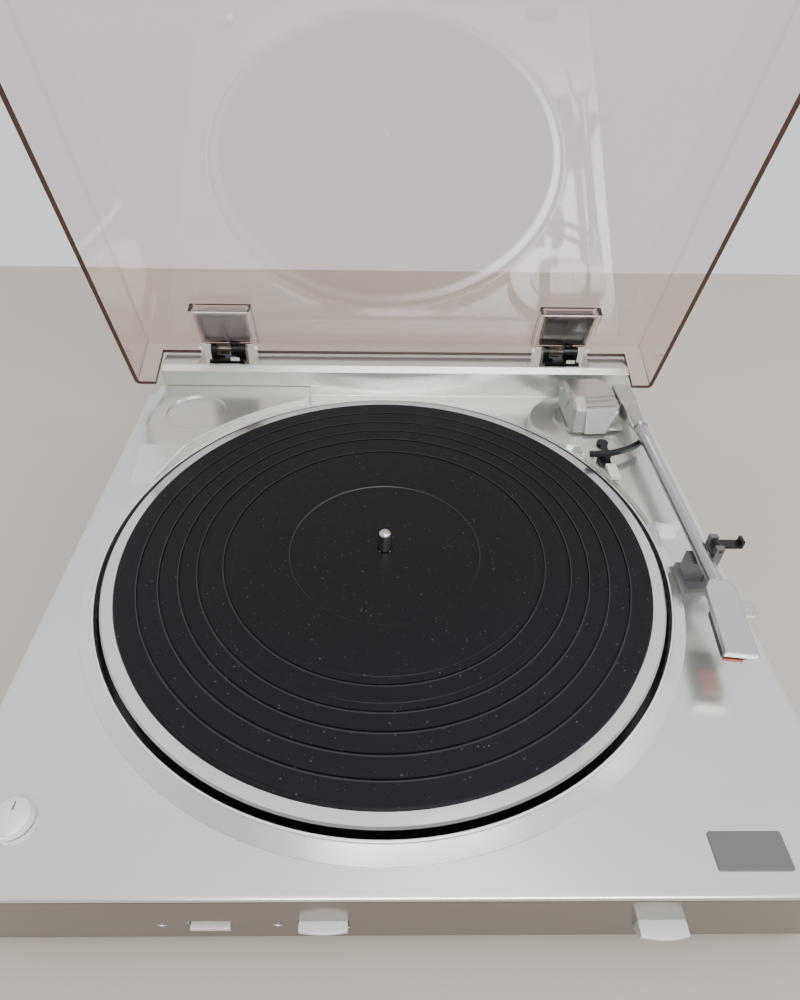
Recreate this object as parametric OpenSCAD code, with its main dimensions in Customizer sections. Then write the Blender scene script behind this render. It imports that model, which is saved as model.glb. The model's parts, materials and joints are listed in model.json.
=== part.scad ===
// Midi-size record player with a hinged clear lid, a belt-driven platter
// and a low, straight tonearm. Drawn with the lid open and the arm on its rest.

/* [Housing] */
// Width of the housing
deck_w = 374; // [370:1:378]
// Distance from the spindle forward to the front face
deck_front = 176; // [174:1:180]
// Distance from the spindle back to the rear face
deck_back = 198; // [198:1:200]
// Depth of the deck below the top of the mat
deck_drop = 9.5; // [9:0.5:10]
// Height of the housing below the deck
skirt_h = 42.5; // [42.5:0.5:50]
// Thickness of the housing walls
wall = 3; // [2.5:0.5:3]
// Height of the rubber feet
foot_h = 10; // [8:1:14]

/* [Platter] */
// Radius of the rubber mat
mat_r = 146; // [144:1:148]
// Radius of the platter
platter_r = 153; // [151:0.5:153]
// Diameter of the spindle
spindle_d = 7.2; // [7.1:0.1:7.2]
// Height of the spindle above the mat
spindle_rise = 13; // [10:1:14]

/* [Lid] */
// Outer width of the lid
lid_w = 381; // [381:1:384]
// Thickness of the clear sheet
lid_wall = 3; // [2.5:0.5:3]
// Angle of the lid when it stands open
lid_open = 73.2; // [60:0.1:76]

/* [Tonearm] */
// Distance of the tube's axis to the right of the spindle
tube_x = 170.8; // [170.6:0.1:171]
// Height of the tube's axis above the mat
tube_z = 11.5; // [11.5:0.5:12]
// Diameter of the tube
tube_d = 8; // [7.6:0.1:8]
// Inward skew of the headshell
shell_turn = 7; // [5:0.5:9]

/* [Hidden] */
$fn = 64;
eps = 0.01;
run_gap = 0.05;
free_gap = 0.4;

// Levels, measured from the top of the mat
deck_z = -deck_drop;
under_deck_z = deck_z - wall;
skirt_z = deck_z - skirt_h;
base_z = skirt_z - 4;
floor_z = base_z - foot_h;
plateau_z = -1.8;
ledge_z = 13;
ring_z = -3.5;
well_z = -27;
well_under_z = well_z - wall;

// Plan of the housing, measured from the spindle
deck_mid = 7.3;
left_x = deck_mid - deck_w / 2;
right_x = deck_mid + deck_w / 2;
front_y = -deck_front;
ledge_y = 171.5;
ledge_l = deck_mid - 173.2;
ledge_r = deck_mid + 175.2;
notch_y = ledge_y - 0.8;
notch_z = -18.6;
ring_in = 156.2;
ring_out = 164.6;
left_plateau = [-164.7, -56.3];
ramp_y = [66.7, 97.5];
right_plateau = [133, 176.5];
right_plateau_y = 24;
right_plateau_cut = 159.5;
adaptor_recess = [-135.1, 137];
adaptor_recess_r = 20.8;
boss_in = 6.5;
foot_in = 33;

// Lid, drawn closed and then turned about its pivot
pivot_y = 194;
pivot_z = 16.5;
lid_l = deck_mid - lid_w / 2;
lid_r = deck_mid + lid_w / 2;
lid_top = 22.7;
lid_rim = -17.6;
lid_front = front_y - 1;
lid_rear = 192.75;
lid_rear_wall_z = 14;
leg_w = 12;
hinge_xs = [-118.7, 133.3];
ear_w = 4.5;
hinge_half = 13;
hinge_notch = 20.5;

// Tonearm and lifter
arm = [136, 131];
lift_y = 138;
lift_z = 8.5;
ring_y = 101.5;
tube_end = -36;
post = [144.5, 93];
arc_r = 50.5;
cue_y = 84;
cue_z = 0.4;
clip_x = 177.5;
clip_z = 17.2;

// Drive
rim_r = 81;
rim_bottom_z = -25;
pulley = [-88, 88];
pulley_r = 9;
screw_ring = 20;
screw_angles = [45, 165, 285];
cam = [0, -44.6];
hub_r = 14;
cam_r = 29.7;
bush_bottom_z = -49;
ball_r = 1.5;
bore_r = 2.8;

// Controls on the front face
key_z = -33;
stop_x = -24;
start_x = 112;
stop_out = 4.5;
start_out = 7;
speed_x = -69.6;
speed_z = -37.2;
trim_xs = [-88.8, -42.4];
trim_z = -36.3;
knob = [-150, -146];
panel_l = -70;
panel_r = 90;
panel_z = [-46, -16];
socket_xs = [40, 58];
terminal_x = 76;
gland_x = -52;
panel_mid_z = -31;

// Where the spindle and the mat lie in the object's own frame
lid_back_y = pivot_y + (lid_rear + lid_wall - pivot_y) * cos(lid_open)
    + (lid_top + lid_wall - pivot_z) * sin(lid_open);
spindle_at = [-deck_mid, -(lid_back_y + front_y - start_out) / 2, -floor_z];

module place() translate(spindle_at) children();

module lid_turn() translate([0, pivot_y, pivot_z]) rotate([-lid_open, 0, 0])
    translate([0, -pivot_y, -pivot_z]) children();

// ---- shapes that several parts share ----
function corner(cx, cy, r, a0) = [for (i = [0 : 6]) [cx + r * cos(a0 + 15 * i), cy + r * sin(a0 + 15 * i)]];

function round_outline(x0, x1, y0, y1, r) = concat(
    corner(x0 + r, y0 + r, r, 180), corner(x1 - r, y0 + r, r, 270),
    corner(x1 - r, y1 - r, r, 0), corner(x0 + r, y1 - r, r, 90));

module slab(x0, x1, y0, y1, z0, z1, r) translate([0, 0, z0])
    linear_extrude(z1 - z0) polygon(round_outline(x0, x1, y0, y1, r));

module block(x0, x1, y0, y1, z0, z1) translate([x0, y0, z0]) cube([x1 - x0, y1 - y0, z1 - z0]);

module disc(p, r, z0, z1) translate([p[0], p[1], z0]) cylinder(r = r, h = z1 - z0);

module hoop(p, r1, r0, z0, z1) difference() {
    disc(p, r1, z0, z1);
    disc(p, r0, z0 - 1, z1 + 1);
}

module rod_x(x0, x1, y, z, r) translate([x0, y, z]) rotate([0, 90, 0]) cylinder(r = r, h = x1 - x0);

module rod_y(y0, y1, x, z, r) translate([x, y0, z]) rotate([-90, 0, 0]) cylinder(r = r, h = y1 - y0);

module side_profile(x0, x1, pts) translate([x0, 0, 0]) rotate([90, 0, 90])
    linear_extrude(x1 - x0) polygon(pts);

module at_corners(inset) for (x = [left_x + inset, right_x - inset])
    for (y = [front_y + inset, deck_back - inset]) translate([x, y, 0]) children();

module at_motor_screws() for (a = screw_angles)
    translate([pulley[0] + screw_ring * cos(a), pulley[1] + screw_ring * sin(a), 0]) children();

// A cross-headed screw that points down from z = 0
module screw(head_r, head_h, r, len) {
    difference() {
        cylinder(r = head_r, h = head_h);
        for (a = [0, 90]) rotate(a) translate([-head_r * 0.6, -0.4, head_h - 0.8])
            cube([head_r * 1.2, 0.8, 2]);
    }
    translate([0, 0, -len]) cylinder(r = r, h = len + eps);
}

// Outline of a gear whose teeth stand between two angles
function gear_outline(root_r, tip_r, n, from = 0, to = 360) = [for (i = [0 : n - 1])
    let (a = 360 * i / n, reach = a >= from && a < to ? tip_r : root_r)
    for (side = [[-0.3, root_r], [-0.16, reach], [0.16, reach], [0.3, root_r]])
    let (u = a + side[0] * 360 / n) side[1] * [cos(u), sin(u)]];

module gear(root_r, tip_r, n, z0, z1, from = 0, to = 360) translate([0, 0, z0])
    linear_extrude(z1 - z0) polygon(gear_outline(root_r, tip_r, n, from, to));

// A coil of wire along X
module coil(r, wire, turns, len) {
    steps = turns * 14;
    sides = 6;
    rings = [for (i = [0 : steps]) let (a = 360 * turns * i / steps) for (j = [0 : sides - 1])
        let (b = 360 * j / sides, c = r + wire * cos(b))
        [i * len / steps + wire * sin(b), c * cos(a), c * sin(a)]];
    skin = [for (i = [0 : steps - 1]) for (j = [0 : sides - 1]) let (k = (j + 1) % sides)
        [i * sides + j, i * sides + k, (i + 1) * sides + k, (i + 1) * sides + j]];
    first = [for (j = [sides - 1 : -1 : 0]) j];
    last = [for (j = [0 : sides - 1]) steps * sides + j];
    polyhedron(rings, concat([first], skin, [last]), 4);
}

// ---- housing ----
module right_plateau_shape(z0, z1, cut_r) difference() {
    union() {
        disc([133, 129], 30, z0, z1);
        block(right_plateau[0], right_plateau[1], right_plateau_y, ledge_y + 1, z0, z1);
    }
    disc([0, 0], cut_r, z0 - 1, z1 + 1);
}

module left_plateau_shape() difference() {
    side_profile(left_plateau[0], left_plateau[1], [[ramp_y[0], deck_z - eps], [ramp_y[1], plateau_z],
        [ledge_y + 1, plateau_z], [ledge_y + 1, deck_z - eps]]);
    disc([0, 0], ring_out + 0.4, deck_z - 1, 0);
}

module ledge_shape() side_profile(ledge_l, ledge_r, [[ledge_y, deck_z - eps], [ledge_y, 10.3],
    [ledge_y + 5.3, ledge_z], [deck_back - 1, ledge_z],
    [deck_back, ledge_z - 1], [deck_back, deck_z - eps]]);

module plinth_hollow() {
    difference() {
        slab(left_x + wall, right_x - wall, front_y + wall, deck_back - wall, skirt_z - 1, under_deck_z, 2);
        disc([0, 0], ring_in + wall, well_under_z, deck_z);
        at_corners(boss_in) disc([0, 0], 4, skirt_z - 2, deck_z);
        block(left_x, ledge_l + wall, notch_y - wall, deck_back, notch_z - wall, deck_z);
        block(ledge_r - wall, right_x, notch_y - wall, deck_back, notch_z - wall, deck_z);
    }
    edges = [ledge_l, hinge_xs[0] - hinge_notch, hinge_xs[0] + hinge_notch,
        hinge_xs[1] - hinge_notch, hinge_xs[1] + hinge_notch, ledge_r];
    for (i = [0, 2, 4]) block(edges[i] + wall, edges[i + 1] - wall, ledge_y + 4, deck_back - wall,
        under_deck_z - 1, ledge_z - wall);
}

module edge_rounds() {
    difference() {
        block(left_x - 1, right_x + 1, front_y - 1, front_y + 1.8, deck_z - 1.8, deck_z + 1);
        rod_x(left_x - 2, right_x + 2, front_y + 1.8, deck_z - 1.8, 1.8);
    }
    for (s = [0, 1]) translate([s * 2 * deck_mid, 0, 0]) mirror([s, 0, 0]) difference() {
        block(left_x - 1, left_x + 2.5, front_y - 1, notch_y, deck_z - 2.5, deck_z + 1);
        rod_y(front_y - 2, notch_y + 1, left_x + 2.5, deck_z - 2.5, 2.5);
    }
}

module control_windows() {
    for (x = [stop_x, start_x])
        block(x - 10.3, x + 10.3, front_y - 1, front_y + wall + 1, key_z - 8.5, key_z + 0.5);
    block(speed_x - 8.4, speed_x + 8.4, front_y - 1, front_y + wall + 1, speed_z - 3.3, speed_z + 4.9);
    for (x = trim_xs) rod_y(front_y - 1, front_y + wall + 1, x, trim_z, 2.2);
}

module plinth() color("#cfcfc8") place() difference() {
    union() {
        slab(left_x, right_x, front_y, deck_back, skirt_z, deck_z, 4);
        left_plateau_shape();
        right_plateau_shape(deck_z - eps, plateau_z, right_plateau_cut);
        ledge_shape();
    }
    plinth_hollow();
    edge_rounds();
    control_windows();
    // platter well, with holes for the bearing, the motor shaft and its screws
    disc([0, 0], ring_in, well_z, 5);
    disc([0, 0], 7, well_z - 10, well_z + 1);
    disc(pulley, 5, well_z - 10, well_z + 1);
    at_motor_screws() disc([0, 0], 1.7, well_z - 10, well_z + 1);
    // recess for a single's centre adaptor
    disc(adaptor_recess, adaptor_recess_r, plateau_z - 1.2, plateau_z + 1);
    // seam between the left plateau and the ledge
    block(left_plateau[0] + 1, left_plateau[1] + 1, ledge_y - 0.7, ledge_y, plateau_z - 1, plateau_z + 0.1);
    // corners for the lid's legs
    block(left_x - 1, ledge_l, notch_y, deck_back + 1, notch_z, ledge_z + 1);
    block(ledge_r, right_x + 1, notch_y, deck_back + 1, notch_z, ledge_z + 1);
    // hinge notches
    for (x = hinge_xs) {
        block(x - hinge_notch, x + hinge_notch, ledge_y + 7, deck_back + 1, deck_z, ledge_z + 1);
        for (s = [-7, 7]) disc([x + s, 193], 1.6, deck_z - 6, deck_z + 1);
    }
    // seats of the tonearm, the lifter and the size knob
    disc(arm, 8, plateau_z - 20, plateau_z + 1);
    disc(post, 2.5, plateau_z - 20, plateau_z + 1);
    disc(knob, 3.3, deck_z - 5, deck_z + 1);
    // opening for the rear panel and pilot holes for the cover's screws
    block(panel_l, panel_r, deck_back - wall - 1, deck_back + 1, panel_z[0], panel_z[1]);
    at_corners(boss_in) disc([0, 0], 1.6, skirt_z - 1, skirt_z + 12);
}

module platter_ring() color("#dcdcd6") place() difference() {
    rotate_extrude() polygon([[ring_in, deck_z], [ring_in, ring_z], [ring_in + 0.9, ring_z],
        [ring_in + 1.4, ring_z - 0.6], [ring_out, deck_z + 0.3], [ring_out, deck_z]]);
    right_plateau_shape(deck_z - 1, ring_z + 1, right_plateau_cut - 0.2);
}

module bottom_cover() color("#2b2b2c") place() difference() {
    union() {
        slab(left_x + 3, right_x - 3, front_y + 3, deck_back - 3, base_z, skirt_z, 3);
        slab(left_x + wall + 0.4, right_x - wall - 0.4, front_y + wall + 0.4, deck_back - wall - 0.4,
            skirt_z - eps, skirt_z + 2, 2);
    }
    difference() {
        slab(left_x + 9, right_x - 9, front_y + 9, deck_back - 9, base_z + 2, skirt_z + 3, 2);
        for (x = [-56, 36]) for (y = [-146, -104]) disc([x, y], 3, base_z, skirt_z + 1.8);
    }
    at_corners(boss_in) disc([0, 0], 4.4, skirt_z, skirt_z + 3);
    at_corners(boss_in) disc([0, 0], 1.6, base_z - 1, skirt_z + 1);
    for (i = [-5 : 5]) block(i * 14 - 4, i * 14 + 4, 60, 63, base_z - 1, base_z + 3);
}

module feet() color("#1c1c1d") place() at_corners(foot_in) translate([0, 0, floor_z])
    rotate_extrude() polygon([[0, 0], [15, 0], [16, 1], [17.5, foot_h - 1], [17.5, foot_h], [0, foot_h]]);

module cover_screws() color("#9a9a98") place() at_corners(boss_in)
    translate([0, 0, base_z]) mirror([0, 0, 1]) screw(3, 1.6, 1.5, 13);

// ---- rear panel ----
module rear_panel() color("#2e2e30") place() difference() {
    block(panel_l - 4, panel_r + 4, deck_back - wall - 1.5, deck_back - wall,
        panel_z[0] - 3, panel_z[1] + 2);
    for (x = socket_xs) rod_y(deck_back - 8, deck_back, x, panel_mid_z, 4.15);
    rod_y(deck_back - 8, deck_back, terminal_x, panel_mid_z, 1.9);
    rod_y(deck_back - 8, deck_back, gland_x, panel_mid_z, 5.5);
}

module phono_sockets() color("#c9a44a") place() for (x = socket_xs) difference() {
    union() {
        rod_y(deck_back - 10, deck_back + 5, x, panel_mid_z, 4.15);
        rod_y(deck_back - wall, deck_back - wall + 1, x, panel_mid_z, 6);
    }
    rod_y(deck_back - 6, deck_back + 6, x, panel_mid_z, 1.6);
}

module ground_post() color("#b9b9b4") place() difference() {
    union() {
        rod_y(deck_back - 8, deck_back + 3, terminal_x, panel_mid_z, 1.9);
        rod_y(deck_back - wall, deck_back + 1.5, terminal_x, panel_mid_z, 4.5);
    }
    for (a = [0 : 30 : 330]) translate([4.8 * cos(a), 0, 4.8 * sin(a)])
        rod_y(deck_back - wall + 1, deck_back + 2, terminal_x, panel_mid_z, 0.7);
}

module cord_gland() color("#1a1a1b") place() difference() {
    union() {
        rod_y(deck_back - 9, deck_back + 1, gland_x, panel_mid_z, 5.5);
        rod_y(deck_back - wall, deck_back - wall + 1.6, gland_x, panel_mid_z, 7.5);
    }
    rod_y(deck_back - 10, deck_back + 2, gland_x, panel_mid_z, 2.6);
}

// ---- drive ----
module bearing_bush() color("#b58a3c") place() difference() {
    union() {
        disc([0, 0], 7, bush_bottom_z, well_z);
        disc([0, 0], 9.5, well_z, well_z + 2.4);
    }
    disc([0, 0], bore_r + run_gap, bush_bottom_z + 2, well_z + 3);
}

module thrust_ball() color("#d8d8d8") place()
    translate([0, 0, bush_bottom_z + 2 + ball_r]) sphere(r = ball_r, $fn = 32);

module motor() color("#8c8f92") place() translate([pulley[0], pulley[1], 0]) difference() {
    union() {
        disc([0, 0], 17, -52, -34);
        disc([0, 0], 4, -34 - eps, -31.5);
    }
    disc([0, 0], 1.5 + run_gap, -42, -31);
}

module motor_plate() color("#6d6f70") place() difference() {
    slab(pulley[0] - 26, pulley[0] + 26, pulley[1] - 26, pulley[1] + 26, -34, -32.2, 6);
    disc(pulley, 4, -35, -31);
    at_motor_screws() disc([0, 0], 1.7, -35, -31);
}

module motor_grommets() color("#202021") place() at_motor_screws() hoop([0, 0], 4, 1.7, -32.2, well_under_z);

module motor_screws() color("#a8a8a4") place() at_motor_screws()
    translate([0, 0, well_z]) screw(2.9, 1.6, 1.55, 8.6);

module motor_pulley() color("#c79a4b") place() translate([pulley[0], pulley[1], 0]) {
    rotate_extrude() polygon([[0, -25.2], [pulley_r + 1, -25.2], [pulley_r + 1, -24.2],
        [pulley_r - 0.3, -23.6], [pulley_r, -20.5], [pulley_r - 0.3, -17.4],
        [pulley_r + 1, -16.8], [pulley_r + 1, -15.8], [0, -15.8]]);
    disc([0, 0], 1.5, -41, -25.2 + eps);
}

// Flat belt round the platter's drive rim and the pulley
module drive_belt() color("#151515") place() {
    inside_rim = rim_r + free_gap;
    inside_pulley = pulley_r + free_gap;
    toward = atan2(pulley[1], pulley[0]);
    lean = acos((inside_rim - inside_pulley) / norm(pulley));
    round_rim = [for (i = [0 : 36]) toward + lean + i * (360 - 2 * lean) / 36];
    round_pulley = [for (i = [0 : 8]) toward - lean + i * 2 * lean / 8];
    translate([0, 0, -22.5]) linear_extrude(4) difference() {
        polygon(concat([for (a = round_rim) (inside_rim + 0.6) * [cos(a), sin(a)]],
            [for (a = round_pulley) pulley + (inside_pulley + 0.6) * [cos(a), sin(a)]]));
        polygon(concat([for (a = round_rim) inside_rim * [cos(a), sin(a)]],
            [for (a = round_pulley) pulley + inside_pulley * [cos(a), sin(a)]]));
    }
}

module platter() color("#c3c5c6") place() difference() {
    union() {
        rotate_extrude() polygon([[0, -6], [0, -3], [mat_r + 0.3, -3], [mat_r + 0.3, -1.5],
            [platter_r - 1, -1.5], [platter_r, -2.5], [platter_r, -12], [platter_r - 1, -13],
            [platter_r - 4, -13], [platter_r - 5, -6]]);
        hoop([0, 0], rim_r, rim_r - 3, rim_bottom_z, -6 + eps);
        disc([0, 0], 11, -17.5, -6 + eps);
    }
    disc([0, 0], bore_r, -30, 1);
    for (a = [135, 315]) rotate(a) disc([118, 0], 11, -7, -2);
}

module mat() color("#232326") place() difference() {
    disc([0, 0], mat_r, -3, 0);
    disc([0, 0], 3.8, -4, 1);
    for (r = [88.6, 102.5, 112.3, 122.7, 133.8]) hoop([0, 0], r + 0.5, r - 0.5, -0.7, 1);
    disc([0, 0], 54, -0.5, 1);
}

module spindle() color("#e3e3e5") place() {
    disc([0, 0], bore_r, bush_bottom_z + 2 + 2 * ball_r + free_gap, 0);
    disc([0, 0], spindle_d / 2, -eps, spindle_rise - 2.6);
    translate([0, 0, spindle_rise - 2.6]) rotate_extrude() polygon([[0, -eps], [spindle_d / 2, -eps],
        [spindle_d / 2 - 0.3, 1], [spindle_d / 2 - 1.2, 2], [spindle_d / 2 - 2.2, 2.5], [0, 2.6]]);
}

module hub_gear() color("#e8e4d2") place() difference() {
    gear(hub_r - 1.6, hub_r, 24, -23, -17.5);
    disc([0, 0], bore_r, -24, -16);
}

module cam_axle() color("#c0c0be") place() {
    disc(cam, 2.4, well_z, -18);
    disc(cam, 4, -18 - eps, -16.5);
}

module cam_gear() color("#ece6cf") place() translate([cam[0], cam[1], 0]) difference() {
    union() {
        gear(cam_r - 1.4, cam_r, 56, -24, -20.5, 24, 336);
        hoop([0, 0], 24, 22.4, -26.5, -23.5);
        disc([0, 0], 5, -26.5, -18.4);
    }
    disc([0, 0], 2.4 + run_gap, -28, -17);
}

// ---- electrics ----
module circuit_board() color("#2f6b3f") place() {
    block(-60, 40, -150, -100, -50.2, -48.6);
    for (i = [0 : 4]) disc([-48 + i * 20, -112], 4, -48.6 - eps, -39 + i);
    for (i = [0 : 2]) block(-50 + 28 * i, -40 + 28 * i, -138, -132, -48.6 - eps, -45);
}

module transformer() color("#8b7f6b") place() {
    block(98, 142, -142, -93, base_z + 2, -50);
    block(104, 136, -136, -99, -50 - eps, -33);
    block(110, 130, -141, -94, -46, -35);
}

module control_board() color("#35683f") place() difference() {
    union() {
        block(-98, -37, -163, -161.4, -48, under_deck_z);
        for (x = trim_xs) block(x - 5, x + 5, -171, -163 + eps, trim_z - 5, trim_z + 5);
        block(speed_x - 9, speed_x + 9, -166.5, -163 + eps, speed_z - 6, speed_z + 4);
    }
    for (x = trim_xs) rod_y(-172, -165, x, trim_z, 1.8 + run_gap);
}

module key_bracket() color("#4c4c4e") place() for (x = [stop_x, start_x]) difference() {
    block(x - 8, x + 8, -153, -145, key_z - 10, x == stop_x ? well_under_z : under_deck_z);
    rod_y(-154, -146.5, x, key_z - 4, 3.4);
}

// ---- fixed parts on the deck ----
module arm_base() color("#b6b6b0") place() difference() {
    union() {
        disc(arm, 8, -16, plateau_z);
        disc(arm, 16, plateau_z, -0.4);
    }
    disc(arm, 3 + run_gap, -17, 1);
}

module arm_rest() color("#4a4a4c") place() {
    block(165.3, 179.5, -24, -4, deck_z, deck_z + 3);
    block(166, 175.3, -18, -8, deck_z + 3 - eps, tube_z - tube_d / 2 - 0.5);
    block(175.2, 178.2, -19, -7, deck_z + 3 - eps, 13);
    difference() {
        for (y = [-19, -10]) block(175.2, 179.5, y, y + 3, deck_z + 3 - eps, clip_z + 2);
        rod_y(-20, -6, clip_x, clip_z, 1 + run_gap);
    }
}

module lifter_post() color("#c9c9c2") place() difference() {
    union() {
        disc(post, 2.5, -16, plateau_z);
        disc(post, 5, plateau_z, plateau_z + 1.6);
        disc(post, 3, plateau_z, 2);
        for (x = [137.2, 148.4]) block(x, x + 2, cue_y - 2, cue_y + 2, plateau_z, cue_z + 2);
    }
    disc(post, 1.5 + run_gap, -17, 5);
    rod_x(136, 152, cue_y, cue_z, 1 + run_gap);
}

module badge_plate() color("#77777a") place() slab(131, 161, -166, -151, deck_z, deck_z + 0.7, 1);

module hinge_bases() color("#151516") place() for (x = hinge_xs) difference() {
    union() {
        block(x - hinge_half, x + hinge_half, 183, 197, deck_z, pivot_z - 6.4);
        block(x - hinge_half, x + hinge_half, 181, 184, deck_z, 13.6);
        for (s = [-hinge_half, hinge_half - ear_w]) {
            block(x + s, x + s + ear_w, 189, 197, deck_z, pivot_z);
            rod_x(x + s, x + s + ear_w, pivot_y, pivot_z, 5);
        }
    }
    rod_x(x - 14, x + 14, pivot_y, pivot_z, 1.75);
    for (s = [-7, 7]) {
        disc([x + s, 193], 1.6, deck_z - 1, 20);
        disc([x + s, 193], 3.1, 5, 10.5);
    }
}

module hinge_screws() color("#8d8d8c") place() for (x = hinge_xs) for (s = [-7, 7])
    translate([x + s, 193, 5]) screw(2.9, 1.8, 1.55, 18);

module hinge_pins() color("#bdbdbb") place() for (x = hinge_xs)
    rod_x(x - hinge_half - 0.4, x + hinge_half + 0.4, pivot_y, pivot_z, 1.75);

module hinge_springs() color("#8f7a63") place() for (x = hinge_xs)
    translate([x - 7.8, pivot_y, pivot_z]) coil(4, 0.62, 6, 8.6);

// ---- controls ----
module key_cap(x, out) {
    difference() {
        side_profile(x - 9.8, x + 9.8, [[front_y + 4, key_z], [front_y - out, key_z],
            [front_y - out, key_z - 1.5], [front_y - 0.5, key_z - 8], [front_y + 4, key_z - 8]]);
        difference() {
            block(x - 11, x + 11, front_y - out - 1, front_y - out + 3, key_z - 9, key_z + 1);
            translate([x, front_y - out + 34, key_z - 10]) cylinder(r = 34, h = 12);
        }
    }
    block(x - 12, x + 12, front_y + 3.6, front_y + 6, key_z - 10.5, key_z + 2.5);
    rod_y(front_y + 6 - eps, -158, x, key_z - 4, 3);
}

module key_spring(x) translate([x, -157.6, key_z - 4]) rotate([0, 0, 90]) coil(2.2, 0.35, 5, 7.6);

module stop_key() color("#d7d7d2") place() key_cap(stop_x, stop_out);

module start_key() color("#d7d7d2") place() key_cap(start_x, start_out);

module stop_spring() color("#a7a7a5") place() key_spring(stop_x);

module start_spring() color("#a7a7a5") place() key_spring(start_x);

module speed_key() color("#dededa") place() {
    block(speed_x - 8, speed_x + 8, front_y - 1.2, front_y + 4, speed_z - 2.8, speed_z);
    block(speed_x - 10, speed_x + 10, front_y + 3.8, front_y + 6, speed_z - 7, speed_z - 0.5);
}

module trimmer(x) difference() {
    rod_y(front_y + 0.8, -166, x, trim_z, 1.8);
    block(x - 2, x + 2, front_y, front_y + 1.8, trim_z - 0.4, trim_z + 0.4);
}

module pitch_trimmer_33() color("#d9d6c8") place() trimmer(trim_xs[0]);

module pitch_trimmer_45() color("#d9d6c8") place() trimmer(trim_xs[1]);

module size_knob() color("#bcbcb8") place() translate([knob[0], knob[1], 0]) {
    difference() {
        rotate_extrude() polygon([[0, deck_z + free_gap], [8.3, deck_z + free_gap], [8.3, deck_z + 4.2],
            [7.6, deck_z + 5], [0, deck_z + 5]]);
        block(-0.5, 0.5, 2, 9, deck_z + 4.4, deck_z + 6);
    }
    disc([0, 0], 3.25, deck_z - 8, deck_z + free_gap + eps);
}

// ---- lid, drawn closed ----
module lid_shell() difference() {
    slab(lid_l, lid_r, lid_front - lid_wall, lid_rear + lid_wall, lid_rim, lid_top + lid_wall, 3.5);
    slab(lid_l + lid_wall, lid_r - lid_wall, lid_front, lid_rear, lid_rim - 1, lid_top, 1.5);
    block(lid_l + lid_wall + leg_w, lid_r - lid_wall - leg_w, lid_rear - 1, lid_rear + lid_wall + 1,
        lid_rim - 1, lid_rear_wall_z);
    for (x = hinge_xs) block(x - 21.5, x + 21.5, lid_rear - 1, lid_rear + lid_wall + 1, lid_rim, lid_top);
}

module lid_pocket(x) difference() {
    block(x - 22, x + 22, 155.5, lid_rear, lid_top - 8, lid_top + eps);
    block(x - 19.5, x + 19.5, 158, lid_rear + 1, lid_top - 6, lid_top + 1);
    block(x - 19.5, x + 19.5, 187, lid_rear + 1, lid_top - 9, lid_top + 1);
}

module lid() color([0.72, 0.61, 0.6, 0.4]) place() lid_turn() {
    lid_shell();
    for (x = hinge_xs) lid_pocket(x);
}

module hinge_tongues() color("#3a3b3f") place() lid_turn() for (x = hinge_xs) difference() {
    union() {
        block(x - 17, x + 17, 160, 186, lid_top - 6, lid_top);
        block(x + 2, x + 8.2, 185, pivot_y, lid_top - 6, lid_top - 0.4);
        block(x + 2, x + 8.2, 187.2, pivot_y, 14.4, lid_top - 5);
        rod_x(x + 2, x + 8.2, pivot_y, pivot_z, 5);
    }
    rod_x(x - 2, x + 12, pivot_y, pivot_z, 1.75 + run_gap);
    block(x - 15, x - 1, 162, 184, lid_top - 7, lid_top - 3.4);
    block(x + 1, x + 15, 162, 184, lid_top - 7, lid_top - 3.4);
}

// ---- tonearm: what swings ----
module sheet(z, pts) translate([0, 0, z]) linear_extrude(eps) polygon(pts);

module housing_body(grow = 0) hull() {
    sheet(0.4, [[130, 112 - grow], [160, 113.5 - grow], [163 + grow, 117], [163, 149],
        [157, 156], [134, 156], [126.5, 150], [127.2, 118]]);
    sheet(13, [[131.9, 119.4 - grow], [160, 121.9 - grow], [162.6 + grow, 124.5], [162.2, 147],
        [156, 154.6], [133.4, 154.4], [129.2, 151.5], [130.2, 124]]);
    sheet(17 - eps, [[132.5, 130.4], [159.8, 133.4], [160.2, 136], [159.3, 146.7],
        [153.6, 154.2], [133, 154.2], [129.4, 152.2], [131.2, 135]]);
}

module arm_housing() color("#cfcfc9") place() difference() {
    housing_body();
    translate([0, 0, 14]) linear_extrude(4)
        polygon([[138.8, 100], [165, 100], [165, 134.8], [138.8, 131.2]]);
    difference() {
        union() {
            block(133, 158.4, 121, 132, -1, 9);
            block(133, 158.4, 131.5, 134.1, -1, 12.8);
            block(133, 158.4, 134, 146, -1, 14.5);
            block(133, 154.5, 145, 152.3, -1, 14.5);
        }
        disc(arm, 6.5, -2, 16);
    }
    disc(arm, 3, -1, 12);
    rod_x(157, 165, lift_y, lift_z, 2 + run_gap);
    block(125, 131.3, 132.6, 133.8, 5.5, 11.5);
}

module arm_front_cover() color("#d2d2cc") place() difference() {
    hull() {
        sheet(0.4, [[137.2, 109.6], [152, 110.4], [165, 114.4], [165, 118], [137.2, 118]]);
        sheet(14 - eps, [[138.4, 118.8], [160, 121.7], [160.4, 130], [138.4, 130]]);
    }
    housing_body(0.02);
    block(152.5, 166, 108, 113.6, -1, 2.6);
}

module arm_pivot_shaft() color("#c9c9c9") place() disc(arm, 3, -36, 12);

module arm_return_lever() color("#a9a9a6") place() difference() {
    union() {
        disc(arm, 9, -36, -34);
        block(96, arm[0], arm[1] - 5, arm[1] + 5, -36, -34);
    }
    disc(arm, 3, -37, -33);
}

// ---- tonearm: what lifts ----
module arm_lift_axle() color("#c2c2c0") place() rod_x(145, 173, lift_y, lift_z, 2);

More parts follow.
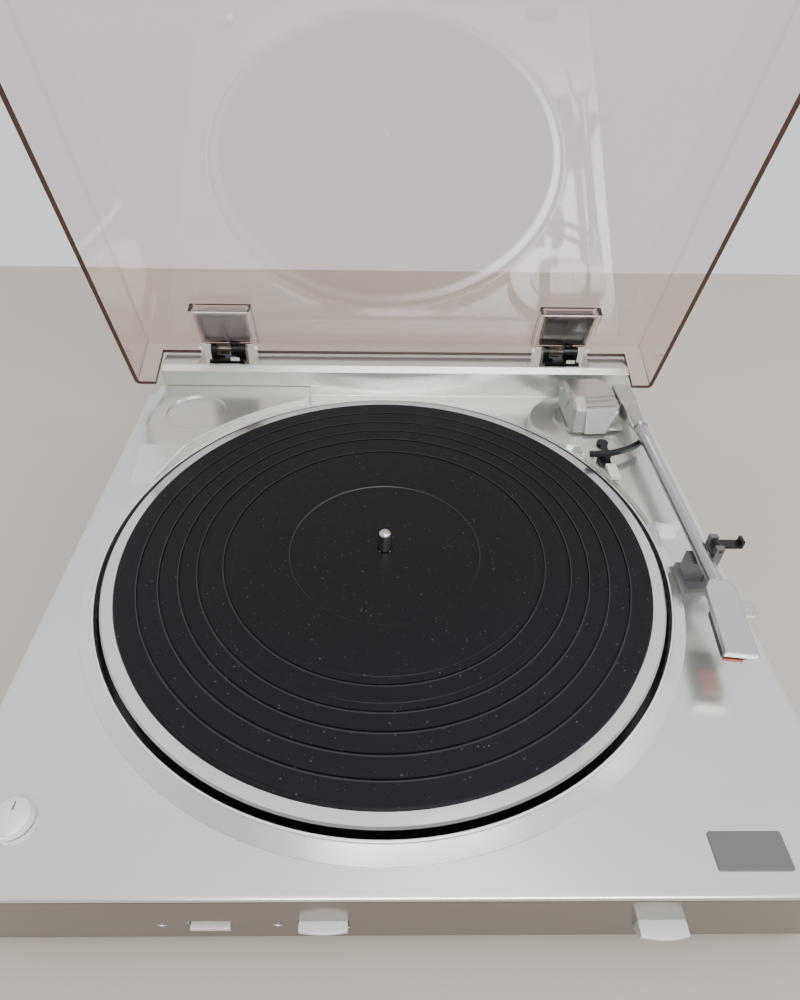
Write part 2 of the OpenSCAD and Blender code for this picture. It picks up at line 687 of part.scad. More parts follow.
module arm_block() color("#cdcdc7") place() difference() {
    union() {
        block(163.6, 175.6, 127.5, 151, 3.4, 14.6);
        hull() {
            block(164.4, 175.4, 127.4, 127.5 + eps, 4.2, 14.4);
            rod_y(ring_y + 2.5, ring_y + 3, tube_x, tube_z, 4.7);
        }
        rod_y(ring_y, ring_y + 3, tube_x, tube_z, 5.1);
    }
    rod_x(160, 173, lift_y, lift_z, 2);
}

module counterweight() color("#8f8f8d") place() difference() {
    block(145, 153.5, 134.5, 151.5, 4, 13);
    rod_x(144, 155, lift_y, lift_z, 2);
}

module arm_tube() color("#b9bcbf") place() difference() {
    rod_y(tube_end, ring_y, tube_x, tube_z, tube_d / 2);
    rod_y(tube_end - 1, ring_y - 2, tube_x, tube_z, tube_d / 2 - 0.8);
}

module on_shell() translate([tube_x, tube_end, 0]) rotate(-shell_turn) children();

module headshell() color("#dadad6") place() difference() {
    on_shell() difference() {
        union() {
            block(-7.5, 7.5, -46, -6, tube_z, tube_z + 3.2);
            hull() {
                block(-7.5, 7.5, -8, -6, tube_z, tube_z + 3.2);
                block(-4.4, 4.4, -1, -eps, tube_z - 2.6, tube_z + 3.8);
            }
            block(7.4, 13.5, -22, -13, tube_z + 1.2, tube_z + 2.8);
        }
        block(-6, 6, -42, -14, tube_z - 1, tube_z + 1.6);
    }
    rod_y(tube_end, tube_end + 2, tube_x, tube_z, tube_d / 2 + eps);
}

module cartridge() color("#2a2a2c") place() on_shell() block(-6, 6, -42, -16, tube_z - 6, tube_z + 1.6);

module stylus() color("#c2452f") place() on_shell() {
    block(-4.5, 4.5, -42.5, -30, tube_z - 7.8, tube_z - 6);
    translate([0, -36, 2]) cylinder(r1 = 0.3, r2 = 1, h = tube_z - 9.7);
}

// ---- lifter ----
module lifter_bar() color("#1b1b1c") place() {
    disc(post, 1.5, -10, 4);
    disc(post, 3.8, 3.4, 5.8);
    block(post[0] - 2, post[0] + 2, 81, 90, 4.2, 5.8);
    intersection() {
        hoop(arm, arc_r + 1.6, arc_r - 1.6, 4.2, 6.9);
        translate([arm[0], arm[1], 0]) linear_extrude(10)
            polygon([[0, 0], [-3.5, -60], [30, -60], [54, -57]]);
    }
}

module cue_lever() color("#1e1e1f") place() {
    rod_x(137.4, 150.2, cue_y, cue_z, 1);
    block(140.3, 147.3, 76, 87, -0.9, 1.6);
}

module cue_tip() color("#e2e0d6") place() block(143.5, 150, 62.5, 76, -1.2, 1.2);

module rest_clip() color("#2a2a2b") place() {
    rod_y(-19, -7, clip_x, clip_z, 1);
    rod_y(-15.6, -10.4, clip_x, clip_z, 1.8);
    block(clip_x, clip_x + 13.2, -15.6, -10.4, clip_z - 0.9, clip_z + 0.9);
    block(clip_x + 11.6, clip_x + 13.2, -15.6, -10.4, clip_z + 0.8, clip_z + 4);
}

plinth();
platter_ring();
bottom_cover();
feet();
cover_screws();
rear_panel();
phono_sockets();
ground_post();
cord_gland();
bearing_bush();
thrust_ball();
motor();
motor_plate();
motor_grommets();
motor_screws();
circuit_board();
transformer();
control_board();
key_bracket();
arm_base();
arm_rest();
lifter_post();
badge_plate();
hinge_bases();
hinge_screws();
hinge_pins();
hinge_springs();
cam_axle();
drive_belt();
platter();
mat();
spindle();
hub_gear();
motor_pulley();
cam_gear();
lid();
hinge_tongues();
arm_housing();
arm_front_cover();
arm_pivot_shaft();
arm_return_lever();
arm_lift_axle();
arm_block();
counterweight();
arm_tube();
headshell();
cartridge();
stylus();
lifter_bar();
cue_lever();
cue_tip();
stop_key();
stop_spring();
start_key();
start_spring();
speed_key();
pitch_trimmer_33();
pitch_trimmer_45();
size_knob();
rest_clip();
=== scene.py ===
import json
import math
import bmesh
import bpy
from mathutils import Matrix, Vector


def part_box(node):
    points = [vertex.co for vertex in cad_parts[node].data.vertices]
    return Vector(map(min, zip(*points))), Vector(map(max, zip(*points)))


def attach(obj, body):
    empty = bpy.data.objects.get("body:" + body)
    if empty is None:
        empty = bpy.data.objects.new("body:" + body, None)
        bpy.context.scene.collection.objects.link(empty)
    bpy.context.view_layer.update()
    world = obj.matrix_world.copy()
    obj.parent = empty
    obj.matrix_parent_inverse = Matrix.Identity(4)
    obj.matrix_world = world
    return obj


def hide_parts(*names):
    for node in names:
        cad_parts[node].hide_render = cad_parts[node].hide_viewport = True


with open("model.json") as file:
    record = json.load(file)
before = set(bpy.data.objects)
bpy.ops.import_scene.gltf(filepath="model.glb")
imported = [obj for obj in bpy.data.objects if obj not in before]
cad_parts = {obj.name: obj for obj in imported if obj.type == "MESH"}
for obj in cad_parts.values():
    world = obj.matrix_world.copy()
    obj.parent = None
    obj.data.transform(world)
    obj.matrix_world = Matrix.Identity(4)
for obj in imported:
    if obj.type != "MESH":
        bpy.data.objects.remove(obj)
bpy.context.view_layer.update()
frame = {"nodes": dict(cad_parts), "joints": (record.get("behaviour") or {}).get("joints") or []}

joints = {joint["name"]: joint for joint in frame["joints"]}

# ---- the frame: millimetres from the spindle's axis at the top of the mat ----
MM = 1000
mat_low, mat_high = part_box("mat")
SPINDLE = Vector(((mat_low.x + mat_high.x) / 2, (mat_low.y + mat_high.y) / 2, mat_high.z))


def spot(x, y, z):
    return SPINDLE + Vector((x, y, z)) / MM


def from_spindle(place):
    return (place - SPINDLE) * MM


def node_mm(name):
    """A CAD node's lowest and highest corners, in millimetres from the spindle."""
    low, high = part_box(name)
    return from_spindle(low), from_spindle(high)


PIVOT = Vector(joints["lid_hinge"]["pos_m"])
OPENED = Matrix.Rotation(-math.radians(joints["lid_hinge"]["range_deg"][1]), 3, "X")
FRONT = node_mm("plinth")[0].y
FOOT_BOTTOM = node_mm("feet")[0].z
DECK = -9.5  # the deck's height beside the platter
HINGES = (-118.7, 133.3)  # where each hinge stands along X
PIN_Y, PIN_Z = 194, 16.5  # the hinge pins' axis

# ---- camera and light ----
# The place, angles, lens and shift that fit the photograph's straight edges and circles.
CAMERA_PLACE = (-0.89, -260.21, 266.97)
PITCH, YAW, ROLL = math.radians(42.292), math.radians(-1.206), math.radians(-1.122)
LAMP_WHITE, DAYLIGHT = (1.0, 0.99, 0.97), (0.80, 0.91, 1.0)

camera_data = bpy.data.cameras.new("camera")
camera_data.sensor_width = 36
camera_data.lens = 23.784
camera_data.shift_x = 0.00623
camera_data.shift_y = 0.00813
camera = bpy.data.objects.new("camera", camera_data)
forward = Vector((0, math.cos(PITCH), -math.sin(PITCH)))
down = Vector((0, -math.sin(PITCH), -math.cos(PITCH)))
turn = Matrix.Rotation(YAW, 3, "Z")
forward, down, right = turn @ forward, turn @ down, turn @ Vector((1, 0, 0))
image_right = math.cos(ROLL) * right + math.sin(ROLL) * down
image_down = -math.sin(ROLL) * right + math.cos(ROLL) * down
basis = Matrix((image_right, -image_down, -forward)).transposed()
camera.matrix_world = Matrix.Translation(spot(*CAMERA_PLACE)) @ basis.to_4x4()
bpy.context.scene.collection.objects.link(camera)
bpy.context.scene.camera = camera


def softbox(name, place, size, power, colour):
    """A rectangular lamp that faces the origin, sized in metres and powered in watts."""
    data = bpy.data.lights.new(name, "AREA")
    data.shape = "RECTANGLE"
    data.size, data.size_y = size
    data.energy = power
    data.color = colour
    lamp = bpy.data.objects.new(name, data)
    lamp.location = place
    lamp.rotation_euler = (-Vector(place)).to_track_quat("-Z", "Y").to_euler()
    bpy.context.scene.collection.objects.link(lamp)


softbox("ceiling", (0.1, -0.1, 2.2), (1.5, 1.1), 7, LAMP_WHITE)
softbox("front", (0.3, -1.5, 1.9), (1.6, 0.7), 44, LAMP_WHITE)
softbox("window", (1.7, -0.3, 1.5), (0.9, 1.2), 14, DAYLIGHT)


# ---- shader node helpers ----
def feed(links, socket, value):
    """Links a socket to another one, or sets it to a number."""
    if isinstance(value, bpy.types.NodeSocket):
        links.new(value, socket)
    else:
        socket.default_value = value


def remap(nodes, links, source, limits):
    """A Map Range node fed by a socket, with its limits set by name."""
    node = nodes.new("ShaderNodeMapRange")
    for name, value in limits.items():
        node.inputs[name].default_value = value
    links.new(source, node.inputs["Value"])
    return node.outputs["Result"]


def maths(nodes, links, operation, *values):
    """A Math node, whose values are sockets or numbers."""
    node = nodes.new("ShaderNodeMath")
    node.operation = operation
    for socket, value in zip(node.inputs, values):
        feed(links, socket, value)
    return node.outputs[0]


def noise(nodes, links, where, scale, detail):
    node = nodes.new("ShaderNodeTexNoise")
    node.inputs["Scale"].default_value = scale
    node.inputs["Detail"].default_value = detail
    links.new(where, node.inputs["Vector"])
    return node.outputs["Fac"]


# ---- the room: brighter behind the object than in front of it, and brighter overhead ----
world = bpy.data.worlds.new("room")
world.use_nodes = True
sky, sky_links = world.node_tree.nodes, world.node_tree.links
facing = sky.new("ShaderNodeSeparateXYZ")
sky_links.new(sky.new("ShaderNodeTexCoord").outputs["Generated"], facing.inputs[0])
behind = remap(sky, sky_links, facing.outputs["Y"],
               {"From Min": -0.8, "From Max": 0.5, "To Min": 0.55, "To Max": 1.08})
overhead = remap(sky, sky_links, facing.outputs["Z"], {"From Min": 0.5, "To Min": 0.0, "To Max": 0.35})
sky["Background"].inputs["Color"].default_value = (0.96, 0.96, 0.95, 1)
sky_links.new(maths(sky, sky_links, "ADD", behind, overhead), sky["Background"].inputs["Strength"])
bpy.context.scene.world = world


# ---- materials ----
FLAKE = 0.4  # how much of a colour's variation is fine grain
BUMP_DEPTH = 0.0001
DULLEST, GLOSSIEST = 1.0, 0.02


def material(name, colour, roughness, metallic=0.0, **more):
    """A Principled material whose colour, roughness and surface vary by noise at a real scale in metres."""
    made = bpy.data.materials.new(name)
    made.use_nodes = True
    nodes, links = made.node_tree.nodes, made.node_tree.links
    shader = nodes["Principled BSDF"]
    shader.inputs["Metallic"].default_value = metallic
    for socket, value in more.get("sockets", {}).items():
        shader.inputs[socket].default_value = value
    where = nodes.new("ShaderNodeTexCoord").outputs["Object"]
    cloud = noise(nodes, links, where, more.get("cloud_scale", 25), 6)
    grain = noise(nodes, links, where, more.get("grain_scale", 2500), 3)
    vary = more.get("vary", 0.05)
    ramp = nodes.new("ShaderNodeMix")
    ramp.data_type = "RGBA"
    ramp.inputs["A"].default_value = (*[c * (1 - vary) for c in colour], 1)
    ramp.inputs["B"].default_value = (*[min(1, c * (1 + vary)) for c in colour], 1)
    links.new(maths(nodes, links, "MULTIPLY_ADD", grain, FLAKE, cloud), ramp.inputs["Factor"])
    colour_out = ramp.outputs["Result"]
    if "specks" in more:
        colour_out = add_specks(made, where, colour_out, more["specks"])
    links.new(colour_out, shader.inputs["Base Color"])
    spread = more.get("rough_vary", 0.06)
    uneven = remap(nodes, links, cloud, {"To Min": max(GLOSSIEST, roughness - spread),
                                         "To Max": min(DULLEST, roughness + spread)})
    links.new(uneven, shader.inputs["Roughness"])
    bump = nodes.new("ShaderNodeBump")
    bump.inputs["Strength"].default_value = more.get("bump", 0.12)
    bump.inputs["Distance"].default_value = BUMP_DEPTH
    links.new(grain, bump.inputs["Height"])
    if "soft_edge" in more:
        rounding = nodes.new("ShaderNodeBevel")
        rounding.samples = 6
        rounding.inputs["Radius"].default_value = more["soft_edge"]
        links.new(rounding.outputs["Normal"], bump.inputs["Normal"])
    links.new(bump.outputs["Normal"], shader.inputs["Normal"])
    return made


def add_specks(made, where, base, specks):
    """Pale dust: a small round spot in some of the cells, at each of several sizes."""
    nodes, links = made.node_tree.nodes, made.node_tree.links
    result = base
    for scale, radius, amount in specks["sizes"]:
        cells = nodes.new("ShaderNodeTexVoronoi")
        cells.inputs["Scale"].default_value = scale
        links.new(where, cells.inputs["Vector"])
        round_spot = remap(nodes, links, cells.outputs["Distance"],
                           {"From Min": radius, "From Max": radius * 0.5})
        split = nodes.new("ShaderNodeSeparateColor")
        links.new(cells.outputs["Color"], split.inputs["Color"])
        chosen = maths(nodes, links, "GREATER_THAN", split.outputs["Red"], 1 - amount)
        both = maths(nodes, links, "MULTIPLY", round_spot, chosen)
        strength = maths(nodes, links, "MULTIPLY", both, specks["strength"])
        mix = nodes.new("ShaderNodeMix")
        mix.data_type = "RGBA"
        mix.inputs["B"].default_value = (*specks["colour"], 1)
        links.new(result, mix.inputs["A"])
        links.new(strength, mix.inputs["Factor"])
        result = mix.outputs["Result"]
    return result


SILVER = material("silver_lacquer", (0.70, 0.715, 0.675), 0.22, 0.82, vary=0.025, bump=0.05, rough_vary=0.04,
                  soft_edge=0.0009)
# painted reflection: the front face's silver is coloured dark taupe for the shaded floor it reflects
FRONT_PAINTED_REFLECTION = material("front_painted_reflection", (0.185, 0.162, 0.140), 0.17, 0.8, vary=0.03, bump=0.03,
                       rough_vary=0.03, soft_edge=0.0006)
HOUSING = material("silver_moulding", (0.56, 0.555, 0.53), 0.22, 0.85, vary=0.03, bump=0.05, soft_edge=0.0009)
RING = material("ring_silver", (0.97, 0.98, 0.98), 0.26, 0.95, vary=0.03, bump=0.04, soft_edge=0.0006)
KEY = material("key_silver", (0.78, 0.78, 0.75), 0.28, 0.35, vary=0.03, bump=0.05, soft_edge=0.0005)
BLACK = material("black_plastic", (0.006, 0.006, 0.007), 0.30, vary=0.2, bump=0.12,
                 sockets={"Specular IOR Level": 0.35})
# painted shade: near-black for the shaded gap down the well round the platter
WELL_PAINTED_SHADE = material("well_painted_shade", (0.022, 0.024, 0.030), 0.25, vary=0.2, bump=0.1)
# painted light: the left hinge's tongue is paler than the right one's grey, to lift it out of the shade under
# the lid
TONGUE_PAINTED_LIGHT = material("tongue_painted_light", (0.42, 0.41, 0.44), 0.35, vary=0.06, bump=0.1)
GREY = material("grey_plastic", (0.11, 0.11, 0.115), 0.35, vary=0.1, bump=0.2)
RUBBER = material("rubber", (0.02, 0.02, 0.021), 0.75, vary=0.2, bump=0.3, grain_scale=1500)
# each size of dust: cells to a metre, the spot's radius in cells, and the share of cells with a spot
DUST = {"sizes": ((420, 0.22, 0.10), (900, 0.25, 0.05), (180, 0.10, 0.08)), "strength": 0.28,
        "colour": (0.26, 0.25, 0.27)}
MAT = material("mat_rubber", (0.0028, 0.0030, 0.0046), 0.46, vary=0.25, bump=0.13, grain_scale=1400,
               specks=DUST, cloud_scale=9, rough_vary=0.08,
               sockets={"Specular IOR Level": 0.24, "Specular Tint": (0.86, 0.90, 1.0, 1.0)})
# painted highlight: a lighter ring on the lip outside each groove, for the light a rounded edge would catch
LIP_HIGHLIGHT = material("mat_painted_lip_highlight", (0.012, 0.013, 0.018), 0.45, vary=0.3, bump=0.2, grain_scale=1400)
ALLOY = material("turned_alloy", (0.66, 0.69, 0.72), 0.16, 1.0, vary=0.03, bump=0.03,
                 sockets={"Anisotropic": 0.8})
TUBE = material("arm_alloy", (0.50, 0.50, 0.52), 0.26, 0.95, vary=0.04, bump=0.05)
STEEL = material("steel", (0.55, 0.55, 0.54), 0.35, 1.0, vary=0.06, bump=0.1)
DARK_STEEL = material("dark_steel", (0.20, 0.20, 0.205), 0.45, 0.9, vary=0.1, bump=0.2)
CHROME = material("chrome", (0.55, 0.54, 0.52), 0.12, 1.0, vary=0.02, bump=0.02, rough_vary=0.03)
SPRING = material("spring_steel", (0.16, 0.14, 0.11), 0.30, 0.9, vary=0.1, bump=0.1)
BRASS = material("brass", (0.62, 0.44, 0.17), 0.28, 1.0, vary=0.06, bump=0.1)
WHITE = material("natural_plastic", (0.72, 0.69, 0.60), 0.45, vary=0.04, bump=0.1)
BOARD = material("circuit_board", (0.03, 0.14, 0.06), 0.4, vary=0.15, bump=0.2)
RED = material("stylus_plastic", (0.45, 0.06, 0.03), 0.35, vary=0.08, bump=0.1)
SMOKED = material("smoked_acrylic", (0.90, 0.80, 0.785), 0.012, vary=0.01, bump=0.0, rough_vary=0.008,
                  sockets={"Transmission Weight": 1.0, "IOR": 1.56, "Specular IOR Level": 0.95})
SMOKED_EDGE = material("smoked_edge", (0.060, 0.026, 0.022), 0.20, vary=0.15, bump=0.03)
FLOOR_PAINT = material("floor", (0.47, 0.415, 0.36), 0.85, vary=0.04, bump=0.05, cloud_scale=3)


# ---- mesh helpers ----
def from_mm(name, points, faces, surface, smooth=40):
    """A piece from points in millimetres from the spindle."""
    mesh = bpy.data.meshes.new(name)
    mesh.from_pydata([spot(*p) for p in points], [], faces)
    mesh.validate()
    made = bpy.data.objects.new(name, mesh)
    bpy.context.scene.collection.objects.link(made)
    tidy(made, surface, smooth)
    return made


def tidy(made, surface, smooth=40):
    """Welds, faces outward, and shades smooth below an angle."""
    shape = bmesh.new()
    shape.from_mesh(made.data)
    bmesh.ops.remove_doubles(shape, verts=shape.verts, dist=1e-7)
    bmesh.ops.recalc_face_normals(shape, faces=shape.faces)
    shape.to_mesh(made.data)
    shape.free()
    made.data.shade_smooth()
    made.data.set_sharp_from_angle(angle=math.radians(smooth))
    made.data.materials.clear()
    made.data.materials.append(surface)


def settle(made):
    """Applies a piece's modifiers."""
    graph = bpy.context.evaluated_depsgraph_get()
    mesh = bpy.data.meshes.new_from_object(made.evaluated_get(graph))
    old = made.data
    made.modifiers.clear()
    made.data = mesh
    bpy.data.meshes.remove(old)
    return made


def joined(name, *parts):
    """Several meshes as one piece."""
    shape = bmesh.new()
    surfaces = []
    for part in parts:
        settle(part)
        for surface in part.data.materials:
            if surface not in surfaces:
                surfaces.append(surface)
    mesh = bpy.data.meshes.new(name)
    for surface in surfaces:
        mesh.materials.append(surface)
    for part in parts:
        index = [surfaces.index(surface) for surface in part.data.materials]
        start = len(shape.faces)
        shape.from_mesh(part.data)
        shape.faces.ensure_lookup_table()
        for face in shape.faces[start:]:
            face.material_index = index[face.material_index]
        bpy.data.objects.remove(part)
    shape.to_mesh(mesh)
    shape.free()
    made = bpy.data.objects.new(name, mesh)
    bpy.context.scene.collection.objects.link(made)
    return made


def loft(name, rings, surface, smooth=40):
    """A skin through rings of points, with its ends closed."""
    n = len(rings[0])
    points = [p for ring in rings for p in ring]
    faces = [(a * n + i, a * n + (i + 1) % n, (a + 1) * n + (i + 1) % n, (a + 1) * n + i)
             for a in range(len(rings) - 1) for i in range(n)]
    faces += [tuple(range(n - 1, -1, -1)), tuple((len(rings) - 1) * n + i for i in range(n))]
    return from_mm(name, points, faces, surface, smooth)


def prism(name, outline, z0, z1, surface):
    """An upright prism on an outline of points (x, y)."""
    return loft(name, [[(x, y, z) for x, y in outline] for z in (z0, z1)], surface)


def box_piece(name, x0, x1, y0, y1, z0, z1, surface, edge):
    """A block with its edges rounded."""
    made = prism(name, [(x0, y0), (x1, y0), (x1, y1), (x0, y1)], z0, z1, surface)
    bevel = made.modifiers.new("edges", "BEVEL")
    bevel.width = edge / MM
    bevel.segments = 2
    bevel.limit_method = "ANGLE"
    bevel.angle_limit = math.radians(30)
    bevel.harden_normals = True
    return made


def turned(name, profile, surface, centre=(0, 0), steps=96, smooth=35, hollow=False):
    """A profile of (radius, height) points turned about an upright axis. A hollow one closes on itself."""
    points, faces, rows = [], [], []
    for radius, height in profile:
        if radius < 1e-6:
            rows.append([len(points)] * steps)
            points.append((centre[0], centre[1], height))
            continue
        rows.append(list(range(len(points), len(points) + steps)))
        points += [(centre[0] + radius * math.cos(2 * math.pi * i / steps),
                    centre[1] + radius * math.sin(2 * math.pi * i / steps), height) for i in range(steps)]
    pairs = list(zip(rows, rows[1:]))
    if hollow:
        pairs.append((rows[-1], rows[0]))
    for a, b in pairs:
        for i in range(steps):
            j = (i + 1) % steps
            corners = []
            for v in (a[i], a[j], b[j], b[i]):
                if v not in corners:
                    corners.append(v)
            if len(corners) > 2:
                faces.append(tuple(corners))
    return from_mm(name, points, faces, surface, smooth)


def upright_to(made, place, direction):
    """Turns a piece made about the spindle's axis to lie along a direction from a place."""
    shift = Matrix.Translation(spot(*place)) @ Vector((0, 0, 1)).rotation_difference(
        Vector(direction)).to_matrix().to_4x4() @ Matrix.Translation(-SPINDLE)
    settle(made)
    made.data.transform(shift)
    return made


def swept(name, path, radius, surface, sides, smooth=50):
    """A round wire along a path of points in millimetres."""
    rings = []
    side = None
    for i, here in enumerate(path):
        ahead = Vector(path[min(i + 1, len(path) - 1)]) - Vector(path[max(i - 1, 0)])
        ahead.normalize()
        if side is None:
            side = ahead.orthogonal().normalized()
        side = (side - ahead * side.dot(ahead)).normalized()
        other = ahead.cross(side)
        rings.append([tuple(Vector(here) + radius * (math.cos(2 * math.pi * k / sides) * side
                                                     + math.sin(2 * math.pi * k / sides) * other))
                      for k in range(sides)])
    return loft(name, rings, surface, smooth)


def show(made, body, *stands_for):
    """Puts a finished piece on its body, in place of CAD nodes."""
    settle(made)
    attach(made, body)
    if stands_for:
        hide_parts(*stands_for)
    return made


def paint(surface, *names):
    """Gives CAD nodes one material."""
    for name in names:
        node = frame["nodes"][name]
        node.data.materials.clear()
        node.data.materials.append(surface)


# ---- the CAD nodes that are shown as they are, with their materials ----
paint(SILVER, "plinth")
paint(RING, "platter_ring")
paint(BLACK, "bottom_cover", "hinge_bases", "cartridge", "lifter_bar", "cue_lever", "rest_clip")
paint(RUBBER, "feet", "cord_gland", "motor_grommets", "drive_belt")
paint(STEEL, "cover_screws", "ground_post", "motor_screws", "hinge_screws", "hinge_pins", "cam_axle",
      "arm_pivot_shaft", "arm_return_lever", "arm_lift_axle", "stop_spring", "start_spring")
paint(GREY, "rear_panel", "key_bracket", "arm_rest", "badge_plate", "hinge_tongues", "pitch_trimmer_33",
      "pitch_trimmer_45")
paint(BRASS, "phono_sockets", "bearing_bush", "motor_pulley")
paint(CHROME, "thrust_ball")
paint(DARK_STEEL, "motor", "motor_plate", "transformer", "counterweight")
paint(BOARD, "circuit_board", "control_board")
paint(HOUSING, "arm_base", "arm_housing", "arm_front_cover", "arm_block", "headshell")
paint(WHITE, "hub_gear", "cam_gear", "cue_tip", "lifter_post")
paint(ALLOY, "platter")
paint(KEY, "stop_key", "start_key", "speed_key")
paint(RED, "stylus")
paint(SMOKED, "lid")


def repaint(name, surface, test):
    """Adds a material on a CAD node's faces whose middle, in millimetres, and direction pass a test."""
    mesh = frame["nodes"][name].data
    mesh.materials.append(surface)
    index = len(mesh.materials) - 1
    for face in mesh.polygons:
        if test(from_spindle(face.center), face.normal):
            face.material_index = index


WELL_RADIUS, WELL_TOP = 156.6, -3.8
KNUCKLE_RADIUS = 9
lid_up, lid_back = OPENED @ Vector((0, 0, 1)), OPENED @ Vector((0, 1, 0))


def in_gap(middle, normal):
    """In the well round the platter, where the gap's shade is painted near-black."""
    return math.hypot(middle.x, middle.y) < WELL_RADIUS and middle.z < WELL_TOP


def in_knuckle(middle, normal):
    return math.hypot(middle.y - PIN_Y, middle.z - PIN_Z) < KNUCKLE_RADIUS


def is_front(middle, normal):
    return normal.y < -0.9 and middle.y < FRONT + 1


def is_lid_edge(middle, normal):
    """On the lid's rim, or on the edges of its rear wall. Both are darker, seen along the sheet."""
    away = middle / MM + SPINDLE - PIVOT
    height, depth = away.dot(lid_up) * MM, away.dot(lid_back) * MM
    upward, backward = abs(normal.dot(lid_up)), abs(normal.dot(lid_back))
    rim = height < -33.9
    rear_edge = depth > -1.3 and height < -2 and backward < 0.5
    return rim or rear_edge and abs(normal.x) + upward > 0.9


# painted shade in the gap round the platter, on the plinth's well and on the ring's wall below the deck
repaint("plinth", WELL_PAINTED_SHADE, in_gap)
repaint("platter_ring", WELL_PAINTED_SHADE, lambda middle, normal: in_gap(middle, normal) and middle.z < DECK)
# the left hinge's tongue gets the painted light; the right one keeps its grey
repaint("hinge_tongues", TONGUE_PAINTED_LIGHT, lambda middle, normal: middle.x < 0)
repaint("hinge_tongues", BLACK, in_knuckle)
# the front face gets its painted reflection of the shaded floor
repaint("plinth", FRONT_PAINTED_REFLECTION, is_front)
repaint("lid", SMOKED_EDGE, is_lid_edge)


# ---- mat: moulded rings, recessed bands and a thinned edge ----
mat_r = (mat_high.x - mat_low.x) * MM / 2
MAT_BOTTOM, GROOVE_BOTTOM, BAND_LEVEL = -3, -0.75, -0.22
LABEL_EDGE = 52.9  # the radius of the recess for a record's label
# each groove's radius, and the radius where a lower band before it starts
GROOVES = {88.6: 84, 102.5: 98, 112.3: None, 122.7: None, 133.8: None}
LIP_START, LIP_END = 0.5, 1.1
profile = [(3.8, MAT_BOTTOM), (3.8, -0.8), (4.2, -0.5), (53.2, -0.5), (53.7, -0.05), (54.4, -0.05), (54.8, 0)]
for groove, band in GROOVES.items():
    level = BAND_LEVEL if band else 0
    if band:
        profile += [(band, 0), (band + 0.3, level)]
    profile += [(groove - 0.55, level), (groove - 0.35, GROOVE_BOTTOM), (groove + 0.3, GROOVE_BOTTOM),
                (groove + LIP_START, 0), (groove + LIP_END, 0)]
profile += [(144, 0), (144.3, -0.3), (mat_r - 0.7, -0.32), (mat_r, -0.9), (mat_r, MAT_BOTTOM)]
mat = turned("mat_moulded", profile, MAT, steps=192, hollow=True)
# the flat lip outside each groove and outside the label recess gets the painted highlight
mat.data.materials.append(LIP_HIGHLIGHT)
for face in mat.data.polygons:
    reach = math.hypot(face.center.x - SPINDLE.x, face.center.y - SPINDLE.y) * MM
    if any(LIP_START < reach - groove < LIP_END for groove in (LABEL_EDGE, *GROOVES)):
        face.material_index = 1
show(mat, "turntable", "mat")

# ---- spindle: a pin with a domed end over the bearing shaft ----
low, high = node_mm("spindle")
SHAFT_RADIUS, PIN_RADIUS = 2.8, 3.6
# each point of the domed end: its radius, and its depth below the tip
DOME = ((PIN_RADIUS, 2.4), (3.4, 1.5), (2.9, 0.8), (2.0, 0.3), (1.0, 0.05), (0, 0))
profile = [(0, low.z), (SHAFT_RADIUS - 0.4, low.z), (SHAFT_RADIUS, low.z + 0.4), (SHAFT_RADIUS, 0),
           (PIN_RADIUS, 0)]
profile += [(radius, high.z - depth) for radius, depth in DOME]
pin = turned("spindle_pin", profile, CHROME, steps=48, smooth=50)
show(pin, "turntable", "spindle")

# ---- hinge springs: fine coils round the pins, and the pale tab on each hinge's front ----
COIL_START, COIL_LENGTH, COIL_RADIUS, COIL_TURNS, WIRE_RADIUS = -7.8, 8.6, 3.9, 13, 0.27
STEPS_A_TURN = 20
coil_steps = COIL_TURNS * STEPS_A_TURN
coils = []
hinge_front = node_mm("hinge_bases")[0].y
for x in HINGES:
    path = [(x + COIL_START + COIL_LENGTH * i / coil_steps,
             PIN_Y + COIL_RADIUS * math.cos(2 * math.pi * COIL_TURNS * i / coil_steps),
             PIN_Z + COIL_RADIUS * math.sin(2 * math.pi * COIL_TURNS * i / coil_steps))
            for i in range(coil_steps + 1)]
    coils.append(swept("coil", path, WIRE_RADIUS, SPRING, 6))
    coils.append(box_piece("tab", x + 3, x + 9.5, hinge_front - 0.05, hinge_front + 0.2, 13.8, 16.6, WHITE,
                           edge=0.2))
show(joined("hinge_coils", *coils), "base", "hinge_springs")

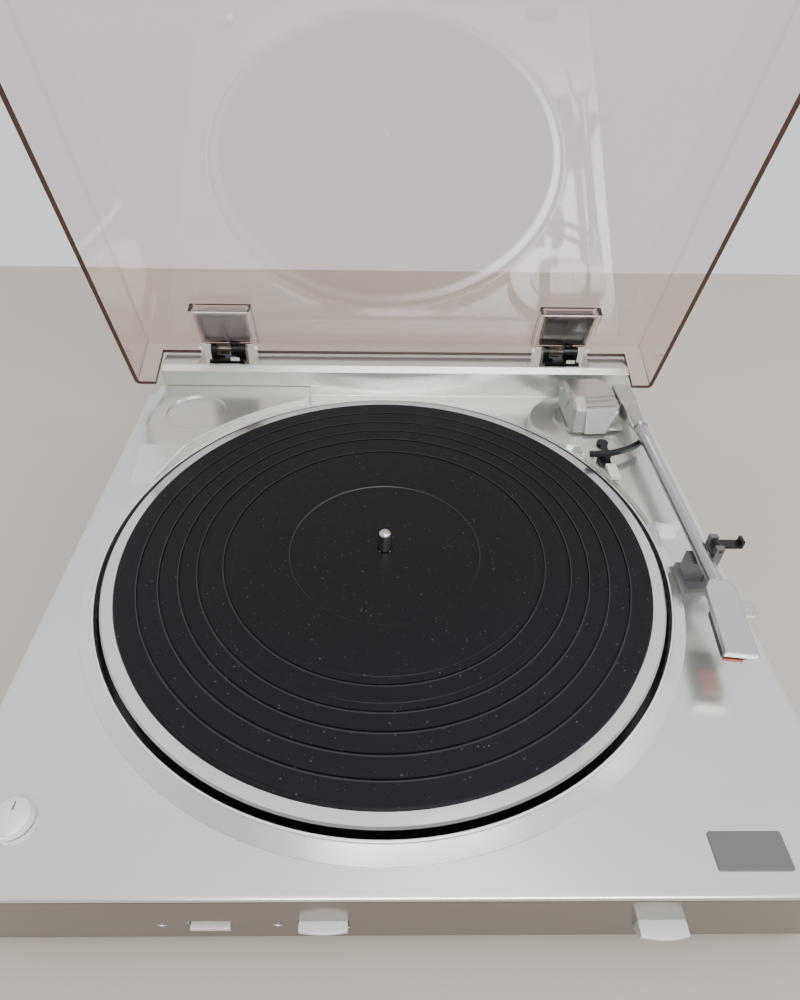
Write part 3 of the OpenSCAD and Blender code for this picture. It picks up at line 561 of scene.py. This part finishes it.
# ---- size knob: a knurled cap with a pointer line ----
low, high = node_mm("size_knob")
middle = ((low.x + high.x) / 2, (low.y + high.y) / 2)
radius = (high.x - low.x) / 2
RIDGES, KNURL_DEPTH = 60, 0.35
knurl = []
for i in range(4 * RIDGES):
    r = radius - KNURL_DEPTH * (i % 4 in (2, 3))
    angle = math.radians(360 / (4 * RIDGES) * i)
    knurl.append((middle[0] + r * math.cos(angle), middle[1] + r * math.sin(angle)))
skirt = prism("knob_skirt", knurl, DECK + 0.4, high.z - 1.0, KEY)
cap = turned("knob_cap", [(0, high.z - 1.0), (radius - 0.5, high.z - 1.0), (radius - 0.5, high.z - 0.5),
                          (radius - 1.3, high.z), (0, high.z - 0.3)], KEY, middle)
stem = turned("knob_stem", [(0, low.z), (3.2, low.z), (3.2, DECK + 0.5), (0, DECK + 0.5)], KEY, middle, 32)
line = box_piece("knob_line", middle[0] - 0.35, middle[0] + 0.35, middle[1] + 2, middle[1] + radius - 1.4,
                 high.z - 0.45, high.z - 0.05, GREY, 0.1)
show(joined("size_cap", skirt, cap, stem, line), "size_knob", "size_knob")

# ---- tonearm tube with its stepped sleeve ----
low, high = node_mm("arm_tube")
axis_x, axis_z, tube_r = (low.x + high.x) / 2, (low.z + high.z) / 2, (high.z - low.z) / 2
length = high.y - low.y
FRONT_SLEEVE, REAR_SLEEVE = 18, 16.5
tube = turned("tube", [(0, 0), (tube_r - 0.5, 0), (tube_r - 0.1, 0.4), (tube_r - 0.1, FRONT_SLEEVE),
                       (tube_r - 0.35, FRONT_SLEEVE + 0.3), (tube_r - 0.35, length - REAR_SLEEVE - 0.5),
                       (tube_r, length - REAR_SLEEVE), (tube_r, length), (0, length)], TUBE, steps=48)
show(upright_to(tube, (axis_x, low.y, axis_z), (0, 1, 0)), "arm_lift", "arm_tube")

# ---- floor ----
floor_z = FOOT_BOTTOM - 0.2
SIDE, NEAR, FAR, THICK = 1600, -1500, 545, 20
floor = prism("floor", [(-SIDE, NEAR), (SIDE, NEAR), (SIDE, FAR), (-SIDE, FAR)], floor_z - THICK, floor_z,
              FLOOR_PAINT)
